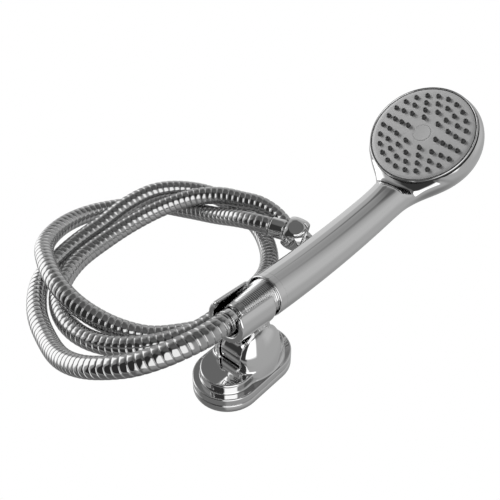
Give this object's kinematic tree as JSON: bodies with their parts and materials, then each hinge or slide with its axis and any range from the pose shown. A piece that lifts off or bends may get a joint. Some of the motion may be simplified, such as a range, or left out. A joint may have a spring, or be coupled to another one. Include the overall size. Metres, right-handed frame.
{
  "type": "handheld shower head",
  "caption": "Chrome hand shower with a round spray face, seated in a tilting wall bracket, with its coiled metal hose and tap nut.",
  "frame": {"origin": "centre of the wall plate's back face, between its two screw holes", "axes": "+Z out of the wall, away from the plate's back face; +X along the plate towards the spray head; +Y along the bracket's pivot, towards the coiled hose"},
  "size_m": [0.3332, 0.2463, 0.1116],
  "materials": {
    "chrome": "polished chrome plate",
    "satin_face": "satin grey face plate",
    "steel": "plain steel",
    "brass": "machined brass",
    "rubber": "soft dark grey rubber",
    "plastic": "moulded plastic",
    "nylon": "nylon"
  },
  "bodies": {
    "bracket": {"wall_plate": "chrome", "bracket_cover": "chrome", "pivot_bolt": "steel", "pivot_insert": "brass", "cover_screw": "steel", "hose": "chrome", "ferrule_end": "chrome", "hose_tail_end": "steel"},
    "cradle": {"cradle": "chrome", "friction_washer_left": "nylon", "friction_washer_right": "nylon"},
    "hose_tail": {"hose_tail_top": "chrome", "ferrule_top": "chrome"},
    "handset": {"cone_nut": "chrome", "cone_washer": "rubber", "handset_body": "chrome", "face_plate": "satin_face", "nozzle_mat": "rubber", "trim_ring": "chrome", "centre_cap": "satin_face", "face_screw": "steel", "spray_chamber": "plastic", "chamber_seal": "rubber", "water_tube": "plastic", "inlet_spigot": "brass", "spigot_seal": "rubber", "flow_restrictor": "plastic"},
    "end_nut": {"end_nut": "chrome", "end_washer": "rubber"}
  },
  "joints": [
    {"name": "cradle_tilt", "type": "hinge", "parent": "bracket", "child": "cradle", "pos_m": [0.005, 0, 0.0235], "axis": [0, -1, 0], "range_deg": [-10, 45], "deforming": ["hose"]},
    {"name": "handset_lift", "type": "slide", "parent": "cradle", "child": "hose_tail", "axis": [0.9962, 0, -0.0872], "range_m": [0, 0.06], "deforming": ["hose"]},
    {"name": "handset_swivel", "type": "hinge", "parent": "hose_tail", "child": "handset", "pos_m": [0.02, 0, 0.052], "axis": [0.9962, 0, -0.0872], "continuous": true},
    {"name": "end_nut_spin", "type": "hinge", "parent": "bracket", "child": "end_nut", "pos_m": [0.11057, 0.04931, 0.02427], "axis": [0.3008, -0.9324, -0.2005], "continuous": true}
  ]
}
